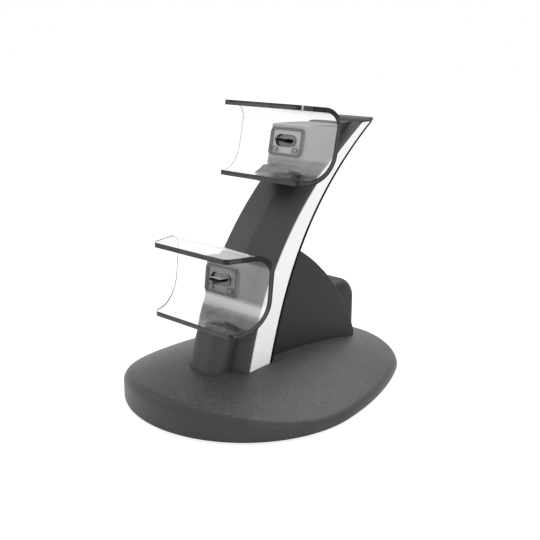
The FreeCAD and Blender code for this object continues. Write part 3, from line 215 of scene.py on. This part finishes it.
plastic_ior = 1.5
mottle_scale, mottle_detail = 60.0, 3.0    # clouds of faint mottling, per metre
mottle_low, mottle_high = 0.3, 0.7
grain_detail = 2.0
dot_low, dot_high = 0.35, 0.65             # part of the grain's noise that makes the dots
gloss_spread = 0.06
shoulder_level, dome_level = 0.82, 0.91    # upward part of the surface's direction
shoulder_grain = 0.1
sharp_angle = math.radians(35)             # edges sharper than this are rounded


def moulded(name, colour, roughness, grain_size, grain_height, mottle=0.12, shine=0.5,
            speckle=0.0):
    """Moulded plastic: an even colour with faint mottling and a fine eroded grain.

    With speckle, level surfaces are dotted too, and the grain fades where they turn down.
    """
    material = bpy.data.materials.new(name)
    shading = Shading(material)
    place = shading.node("TexCoord").outputs
    cloud = shading.node(
        "TexNoise", Vector=place["Object"], Scale=mottle_scale, Detail=mottle_detail
    )
    shade = shading.tones(
        cloud.outputs["Fac"],
        [tone * (1 - mottle) for tone in colour],
        [tone * (1 + mottle) for tone in colour],
        mottle_low,
        mottle_high,
    )
    grain = shading.node(
        "TexNoise", Vector=place["Object"], Scale=1.0 / grain_size, Detail=grain_detail
    ).outputs["Fac"]
    relief = shading.node("Bump", Strength=1.0, Distance=grain_height, Height=grain)
    if speckle:
        upward = shading.parts(place["Normal"])["Z"]
        flatness = shading.stretch(upward, shoulder_level, dome_level, shoulder_grain)
        dots = shading.stretch(grain, dot_low, dot_high, -speckle, speckle)
        dotted = shading.tree.nodes.new("ShaderNodeVectorMath")
        dotted.operation = "SCALE"
        shading.give(dotted.inputs[0], shade)
        strength = shading.reckon("MULTIPLY_ADD", dots, flatness, 1.0)
        shading.give(dotted.inputs["Scale"], strength)
        shade = dotted.outputs["Vector"]
        shading.give(relief.inputs["Strength"], flatness)
    gloss = shading.stretch(grain, 0.0, 1.0, roughness - gloss_spread, roughness + gloss_spread)
    plastic = shading.node(
        "BsdfPrincipled",
        Base_Color=shade,
        Roughness=gloss,
        IOR=plastic_ior,
        Specular_IOR_Level=shine,
        Normal=relief.outputs["Normal"],
    )
    shading.finish(plastic.outputs[0])
    return material


def dress(node_name, material, edge=0.0, steps=3):
    """Gives a solid its finish, and rounds its edges a little where a size is given."""
    piece = nodes[node_name]
    piece.data.materials.clear()
    piece.data.materials.append(material)
    if edge:
        rounding = piece.modifiers.new("edge_rounding", "BEVEL")
        rounding.width = edge
        rounding.segments = steps
        rounding.limit_method = "ANGLE"
        rounding.angle_limit = sharp_angle
    return piece


grained_black = moulded(
    "grained_black", (0.042, 0.042, 0.0425), roughness=0.42, grain_size=0.0006,
    grain_height=0.00022, mottle=0.1, shine=0.3, speckle=0.65,
)
dress("base_cover", grained_black)


# Base plate and foot pads
# A flat plate, cut from black sheet and sunk into the cover's open underside, closes the
# base. Four moulded rubber pads are glued into shallow recesses in it.

base_black = moulded(
    "base_black", (0.035, 0.035, 0.036), roughness=0.6, grain_size=0.0005,
    grain_height=0.00005,
)
dress("base_plate", base_black)
pad_rubber = moulded(
    "pad_rubber", (0.02, 0.02, 0.02), roughness=0.85, grain_size=0.0004,
    grain_height=0.00008,
)
for corner in ("front_left", "front_right", "rear_left", "rear_right"):
    dress(f"foot_pad_{corner}", pad_rubber)


# Screws in the base
# Zinc-plated steel screws with a cross in the head. Four hold the base plate, and two more
# inside the base go up into the column's foot.

mark_scale, mark_detail = 900.0, 4.0      # handling marks, per metre
mark_spread = 0.08
mark_dark, mark_light = 0.9, 1.05
# painted shade: the grey that plated faces turn to where they don't look upwards
side_shade_grey = 0.02
side_level, face_level = 0.75, 0.95       # upward part of the surface's direction


def plated(name, colour, roughness, shade_sides=False):
    """Plated metal with fine handling marks, and painted shade on its short sides where asked.
    """
    material = bpy.data.materials.new(name)
    shading = Shading(material)
    place = shading.node("TexCoord").outputs["Object"]
    marks = shading.node("TexNoise", Vector=place, Scale=mark_scale, Detail=mark_detail)
    marks = marks.outputs["Fac"]
    dark = [tone * mark_dark for tone in colour]
    light = [min(1.0, tone * mark_light) for tone in colour]
    shade = shading.tones(marks, dark, light)
    # painted shade: faces that look less upwards blend to a near-black grey
    if shade_sides:
        upward = shading.parts(shading.node("NewGeometry").outputs["True Normal"])["Z"]
        level = shading.stretch(upward, side_level, face_level)
        shade = shading.tinted(level, grey(side_shade_grey), shade)
    gloss = shading.stretch(marks, 0.0, 1.0, roughness - mark_spread, roughness + mark_spread)
    metal = shading.node("BsdfPrincipled", Base_Color=shade, Roughness=gloss, Metallic=1.0)
    shading.finish(metal.outputs[0])
    return material


screw_steel = plated("screw_steel", (0.42, 0.42, 0.43), roughness=0.35)
for group in ("base_screws", "column_screws"):
    dress(group, screw_steel)


# Column
# Two hollow shells and a cap, moulded in smooth black ABS. The front shell has a ridge down
# its middle. The rear one is pushed onto it and shows as a thin dark lip behind the strips.

lip_height = 0.0003
cap_round, cap_steps = 0.002, 4
smooth = {"roughness": 0.5, "grain_size": 0.0003, "grain_height": 0.00002}
column_black = moulded(
    "column_black", (0.03, 0.03, 0.0305), mottle=0.05, shine=0.5, **smooth
)
dress("column_front_shell", column_black)
rear_black = moulded("rear_black", (0.003, 0.003, 0.003), mottle=0.05, shine=0.15, **smooth)


def swollen(piece, name, amount):
    """Moves a piece's surface outwards by a small amount, or inwards if negative."""
    swelling = piece.modifiers.new(name, "DISPLACE")
    swelling.strength = amount
    swelling.mid_level = 0.0


swollen(dress("column_rear_shell", rear_black), "lip", lip_height)
cap_black = moulded("cap_black", (0.018, 0.018, 0.0183), mottle=0.05, shine=0.3, **smooth)
dress("column_top_cap", cap_black, cap_round, cap_steps)


# Seats of the cradles
# Black moulded blocks that the cradles are screwed to or rest on: a wedge behind each back,
# a round-nosed pillar and a bracket. Each is drawn in by a hair, so that its faces don't
# share a plane with the clear plastic.

seat_clearance = 0.00006
for name in (
    "upper_connector_block",
    "lower_connector_block",
    "cradle_pillar",
    "cradle_bracket",
):
    swollen(dress(name, column_black), "clearance", -seat_clearance)


# Light strips
# Milky polycarbonate light guides, moulded and snapped into a rebate on both sides of the
# column, flush with its shells. They are unlit and show an even white.

strip_ior, strip_rough = 1.58, 0.3
strip_grey, strip_white = 0.86, 0.9
strip_clouds = 90.0
milky = bpy.data.materials.new("milky_plastic")
shading = Shading(milky)
place = shading.node("TexCoord").outputs["Object"]
clouds = shading.node("TexNoise", Vector=place, Scale=strip_clouds).outputs["Fac"]
guide = shading.node(
    "BsdfPrincipled",
    Base_Color=shading.tones(clouds, grey(strip_grey), grey(strip_white)),
    Roughness=strip_rough,
    IOR=strip_ior,
)
shading.finish(guide.outputs[0])
for side in ("left", "right"):
    dress(f"light_strip_{side}", milky)


# Boards
# Plain glass-fibre boards with a green solder mask: one behind each light strip, and one on
# two ledges in the rear housing, under the power inlet.

board_green = moulded(
    "board_green", (0.02, 0.13, 0.05), roughness=0.4, grain_size=0.0006,
    grain_height=0.00001,
)
for name in ("led_board_left", "led_board_right", "charge_board"):
    dress(name, board_green)


# Rear housing
# The hollow fin behind the column, with a rounded lobe at its foot, moulded in one piece of
# satin black ABS. It meets the column and the base and carries the power inlet.

housing_black = moulded(
    "housing_black", (0.009, 0.009, 0.0092), mottle=0.05, shine=0.31, **smooth
)
dress("rear_housing", housing_black)


# Cradles
# Clear C-shaped mouldings in polished polycarbonate, with a faint haze and a painted veil of
# reflected light behind the back, and sawn edges painted dark as shade, with painted glints.
# Two blackened screws hold each to the block behind it, and a soft ring lies in a groove.

blacked_steel = plated("blacked_steel", (0.2, 0.2, 0.205), roughness=0.4)
# the back's rear face at its foot: how far behind the middle, how high, and its lean
seats = {
    "upper": (0.0089, 0.0975, math.radians(12.2)),
    "lower": (-0.0343, 0.0389, math.radians(7.1)),
}
edge_round = 0.0005
# depths go inwards from the back's rear face, and heights upwards from its foot
low_bend, wall = 0.0163, 0.0023           # outer radius of the lower bend, and the wall
skin_margin = 0.0004
kinks = {"upper": 0.0219, "lower": 0.0279}    # depth at which each leaf leaves its bend
tip_depth = 0.0185                        # faces beyond this belong to the leaves' tips
ring_half_x, ring_half_up, ring_middle = 0.00945, 0.00625, 0.0191
ring_line_half = 0.0005
groove_near, groove_far = 0.0009, 0.0018
# painted shade and light on the sawn edges: a black stretch past each kink, a lighter core at
# the bends and a painted glint at each kink
dark_start, dark_end = 0.0018, 0.0065     # past the kink, where the edge looks black
core_half, core_fade = 0.0003, 0.0006
glint_half = 0.0007
# looks of the clear plastic, its haze and painted veil of reflected light, the wetted groove
# and the edges with their painted shade and glints
clear_ior = 1.48
slant_blend = 0.5
faced_tint, slanted_tint = 0.97, 0.86
slant_low, slant_high = 0.55, 0.8
# shares of white on the outer skin, partly real haze and partly a painted veil of reflected
# light, set apart for each cradle; the plate's share is a painted highlight
haze_and_sheen_levels = {"upper": (0.27, 0.0, 0.15), "lower": (0.15, 0.34, 0.0)}    # back, foot, plate
haze_and_sheen_white = 0.98
foot_haze_and_sheen_low, foot_haze_and_sheen_high = 0.0105, 0.0125
wetted_grey = 0.1
# painted shade on the sawn edges, from black outlines to the lighter flat faces, and the
# painted glint
edge_dark, edge_light, edge_glint = 0.001, 0.04, 0.75
edge_rough, edge_shine, edge_share = 0.15, 0.25, 0.94
shadow_tint = 0.94
# how squarely a face looks forwards or sideways, as limits for what it is taken for
back_turn, foot_turn, groove_turn = (0.3, 1.0), (0.6, 0.9), 0.8
end_turn, tip_turn, flat_turn = (0.08, 0.25), (0.42, 0.6), (0.85, 0.94)


def clear_plastic(name, seat, levels, kink):
    """Clear plastic with a faintly hazy outer skin behind the back, partly a painted veil of
    reflected light, and sawn edges painted dark as shade, with painted glints.
    """
    seat_y, seat_z, lean = seat
    material = bpy.data.materials.new(name)
    shading = Shading(material)
    reckon, climb, product = shading.reckon, shading.climb, shading.product

    # where a point lies in the cradle, and which way its surface faces
    spot = shading.node("TexCoord").outputs["Object"]

    def measured(direction, start):
        """How far a point lies along a direction, from a start."""
        node = shading.tree.nodes.new("ShaderNodeVectorMath")
        node.operation = "DOT_PRODUCT"
        shading.give(node.inputs[0], spot)
        shading.give(node.inputs[1], direction)
        return reckon("SUBTRACT", node.outputs["Value"], start)

    inward = measured(
        (0.0, -math.cos(lean), math.sin(lean)),
        -seat_y * math.cos(lean) + seat_z * math.sin(lean),
    )
    upward = measured(
        (0.0, math.sin(lean), math.cos(lean)),
        seat_y * math.sin(lean) + seat_z * math.cos(lean),
    )
    normal = shading.parts(shading.node("NewGeometry").outputs["True Normal"])
    across = reckon("ABSOLUTE", normal["X"])
    along = reckon("ABSOLUTE", normal["Y"])
    ahead = reckon("SUBTRACT", low_bend, inward)
    under = reckon("MAXIMUM", reckon("SUBTRACT", low_bend, upward), 0.0)
    squares = reckon("ADD", reckon("POWER", ahead, 2.0), reckon("POWER", under, 2.0))
    reach = reckon("SQRT", squares)
    outer_skin = reckon("GREATER_THAN", reach, low_bend - skin_margin)
    sideways = reckon("ABSOLUTE", shading.parts(spot)["X"])
    beside = reckon("SUBTRACT", sideways, ring_half_x)
    rise = reckon("ABSOLUTE", reckon("SUBTRACT", upward, ring_middle))
    around = reckon("MAXIMUM", beside, reckon("SUBTRACT", rise, ring_half_up))

    # the polished plastic, and its haze with a painted veil of reflected light on the outer
    # skin
    slant = shading.node("LayerWeight", Blend=slant_blend).outputs["Facing"]
    tint = shading.tones(slant, grey(faced_tint), grey(slanted_tint), slant_low, slant_high)
    plastic = shading.node(
        "BsdfPrincipled",
        Base_Color=tint,
        Roughness=0.0,
        IOR=clear_ior,
        Transmission_Weight=1.0,
    )
    # painted sheen: a white diffuse share on the outer skin, partly haze and partly standing in
    # for reflected light
    haze_and_sheen = shading.node("BsdfDiffuse", Color=grey(haze_and_sheen_white))
    back_level, foot_level, plate_level = levels
    back_haze_and_sheen = product(climb(along, *back_turn), back_level)
    low_down = reckon("SUBTRACT", 1.0, climb(upward, foot_haze_and_sheen_low, foot_haze_and_sheen_high))
    # painted light band at the foot of the back
    foot_haze_and_sheen = product(low_down, climb(along, *foot_turn), foot_level)
    # painted highlight inside the ring
    plate_sheen = product(reckon("LESS_THAN", around, 0.0), plate_level)
    haze_and_sheen_share = reckon("ADD", reckon("ADD", back_haze_and_sheen, foot_haze_and_sheen), plate_sheen)
    haze_and_sheen_share = product(haze_and_sheen_share, outer_skin)
    body = shading.mixed(haze_and_sheen_share, plastic.outputs[0], haze_and_sheen.outputs[0])

    # the floor of the groove, where the soft ring wets it
    wetted = shading.node("BsdfDiffuse", Color=grey(wetted_grey))
    past_near = reckon("GREATER_THAN", inward, groove_near)
    before_far = reckon("LESS_THAN", inward, groove_far)
    upright = reckon("GREATER_THAN", along, groove_turn)
    inner_side = reckon("SUBTRACT", 1.0, outer_skin)
    on_line = reckon("LESS_THAN", reckon("ABSOLUTE", around), ring_line_half)
    floor = product(past_near, before_far, upright, inner_side, on_line)
    body = shading.mixed(floor, body, wetted.outputs[0])

    # the sawn edges: painted dark as shade, with a painted lighter core round the bends, a
    # painted black stretch past each kink and a painted glint at each kink
    past_tip = reckon("GREATER_THAN", inward, tip_depth)
    tip_face = product(climb(along, *tip_turn), past_tip)
    sawn = reckon("MAXIMUM", climb(across, *end_turn), tip_face)
    flat = climb(reckon("MAXIMUM", across, along), *flat_turn)
    # painted shade: a black stretch past each kink
    shaded = product(
        reckon("GREATER_THAN", inward, kink + dark_start),
        reckon("LESS_THAN", inward, kink + dark_end),
    )
    skin_depth = reckon("SUBTRACT", low_bend, reach)
    off_core = reckon("ABSOLUTE", reckon("SUBTRACT", skin_depth, wall / 2))
    core = reckon("SUBTRACT", 1.0, climb(off_core, core_half, core_fade))
    beyond = reckon("GREATER_THAN", inward, low_bend)
    lit = product(
        flat, reckon("SUBTRACT", 1.0, shaded), reckon("MAXIMUM", core, beyond)
    )
    # painted shade: black outlines and stretch, lighter on the flat faces and the core
    shade = shading.tones(lit, grey(edge_dark), grey(edge_light))
    # painted glint at each kink
    off_kink = reckon("ABSOLUTE", reckon("SUBTRACT", inward, kink))
    at_kink = reckon("LESS_THAN", off_kink, glint_half)
    edge = shading.node(
        "BsdfPrincipled",
        Base_Color=shading.tinted(product(at_kink, flat), shade, grey(edge_glint)),
        Roughness=edge_rough,
        Specular_IOR_Level=edge_shine,
    )
    body = shading.mixed(product(sawn, edge_share), body, edge.outputs[0])

    # light that only passes through on its way to other pieces
    passing = shading.node("BsdfTransparent", Color=grey(shadow_tint))
    path = shading.node("LightPath").outputs
    through = reckon("MAXIMUM", path["Is Shadow Ray"], path["Is Diffuse Ray"])
    shading.finish(shading.mixed(through, body, passing.outputs[0]))
    return material


for side, seat in seats.items():
    finish = clear_plastic(f"{side}_clear_plastic", seat, haze_and_sheen_levels[side], kinks[side])
    dress(f"{side}_cradle", finish, edge_round)
    dress(f"{side}_cradle_screws", blacked_steel)


# Charging plugs
# Each plug is a folded steel shell with a nickel plating and painted shade on its sides, filled
# by a black moulding with a mouth. A grey moulded collar holds it in the slot of the cradle's
# back, and the soft black ring round the slot seals the joint.

# nickel plating, with painted shade on the sides of the shell
nickel_with_shaded_sides = plated("nickel_with_shaded_sides", (0.75, 0.75, 0.76), roughness=0.5, shade_sides=True)
plug_black = moulded(
    "plug_black", (0.01, 0.01, 0.01), shine=0.2, **{**smooth, "roughness": 0.6}
)
collar_grey = moulded("collar_grey", (0.24, 0.24, 0.24), **smooth)
plug_half, plug_tall, plug_level = 0.003425, 0.0009, 0.0198
plug_side, plug_corner, plug_round = 0.00065, 0.00095, 0.0003
plug_front, plug_wall, plug_rear = 0.0059, 0.0002, 0.0002
rim_outer, rim_inner = 0.00005, 0.00015    # where the shell's front edge is broken
rim_depth, bore_depth = 0.00015, 0.0001
insert_gap, insert_rear, insert_setback = 0.00002, 0.0004, 0.0001
mouth_floor, mouth_share_x, mouth_share_up = 0.0034, 0.8, 0.35
rounding_limit = 0.4                       # largest share of a side that a corner takes
arc_shares = (0.0, 0.33, 0.67, 1.0)
end_steps = 8
collar_rings = (
    (0.009, 0.004, -0.004),                # width, height and depth of each ring
    (0.009, 0.004, 0.0001),
    (0.0116, 0.0054, 0.0001),
    (0.0116, 0.0054, 0.0003),
    (0.0113, 0.0051, 0.0005),
    (0.0092, 0.0042, 0.0005),
    (0.009, 0.004, 0.0004),
)


def plug_outline(inset, share_x=1.0, share_up=1.0):
    """The plug's six-sided outline with rounded corners, drawn in by an inset."""
    half, tall = plug_half - inset, plug_tall - inset
    corners = [
        (-half, tall),
        (-half, tall - plug_side),
        (-half + plug_corner, -tall),
        (half - plug_corner, -tall),
        (half, tall - plug_side),
        (half, tall),
    ]
    points = []
    for number, place in enumerate(corners):
        corner = Vector(place)
        near = Vector(corners[number - 1]) - corner
        far = Vector(corners[(number + 1) % len(corners)]) - corner
        radius = min(plug_round, near.length * rounding_limit, far.length * rounding_limit)
        first = corner + near.normalized() * radius
        last = corner + far.normalized() * radius
        for share in arc_shares:
            bow = corner * (2 * share * (1 - share))
            point = first * (1 - share) ** 2 + bow + last * share**2
            points.append((point.x * share_x, point.y * share_up))
    return points


def collar_outline(width, height):
    """An upright slot shape, with round ends."""
    points = []
    for way, start in ((-1, 90), (1, 270)):
        for number in range(end_steps + 1):
            angle = math.radians(start + number * 180 / end_steps)
            x = way * (width - height) / 2 + height / 2 * math.cos(angle)
            points.append((x, height / 2 * math.sin(angle)))
    return points


def plug_piece(name, seat, rings, tube, finish, stands_for):
    """A piece of the plug from rings of points, each at a depth from the cradle's back."""
    seat_y, seat_z, lean = seat
    build = bmesh.new()
    loops = []
    for points, inward in rings:
        loop = []
        for x, up in points:
            up += plug_level
            y = seat_y - inward * math.cos(lean) + up * math.sin(lean)
            z = seat_z + inward * math.sin(lean) + up * math.cos(lean)
            loop.append(build.verts.new((x, y, z)))
        loops.append(loop)
    pairs = list(zip(loops, loops[1:]))
    if tube:
        pairs.append((loops[-1], loops[0]))
    else:
        build.faces.new(loops[0])
        build.faces.new(loops[-1])
    for near, far in pairs:
        for number in range(len(near)):
            after = (number + 1) % len(near)
            build.faces.new((near[number], near[after], far[after], far[number]))
    bmesh.ops.recalc_face_normals(build, faces=build.faces)
    mesh = bpy.data.meshes.new(name)
    build.to_mesh(mesh)
    build.free()
    mesh.materials.append(finish)
    piece = bpy.data.objects.new(name, mesh)
    bpy.context.scene.collection.objects.link(piece)
    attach(piece, "root")
    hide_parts(stands_for)


skin, bore = plug_outline(0.0), plug_outline(plug_wall)
sleeve = [
    (skin, plug_rear),
    (skin, plug_front - rim_depth),
    (plug_outline(rim_outer), plug_front),
    (plug_outline(rim_inner), plug_front),
    (bore, plug_front - bore_depth),
    (bore, plug_rear),
]
fill = plug_outline(plug_wall + insert_gap)
mouth = plug_outline(plug_wall, mouth_share_x, mouth_share_up)
insert = [
    (fill, insert_rear),
    (fill, plug_front - insert_setback),
    (mouth, plug_front - insert_setback),
    (mouth, mouth_floor),
]
collar = [(collar_outline(width, height), depth) for width, height, depth in collar_rings]
for side, seat in seats.items():
    plug_piece(
        f"{side}_plug_sleeve", seat, sleeve, True, nickel_with_shaded_sides,
        f"{side}_plug_shell",
    )
    plug_piece(
        f"{side}_plug_insert", seat, insert, False, plug_black,
        f"{side}_plug_tongue",
    )
    plug_piece(
        f"{side}_collar", seat, collar, False, collar_grey,
        f"{side}_plug_collar",
    )
    dress(f"{side}_plug_seal", plug_black)


# Power inlet
# A socket of bright nickel-plated steel with a black plastic tongue. It opens in the rear
# face of the housing's lobe and stands on the charging board.

bright_metal = plated("plated_metal", (0.75, 0.75, 0.76), roughness=0.22)
dress("power_inlet", bright_metal)
dress("inlet_tongue", plug_black)
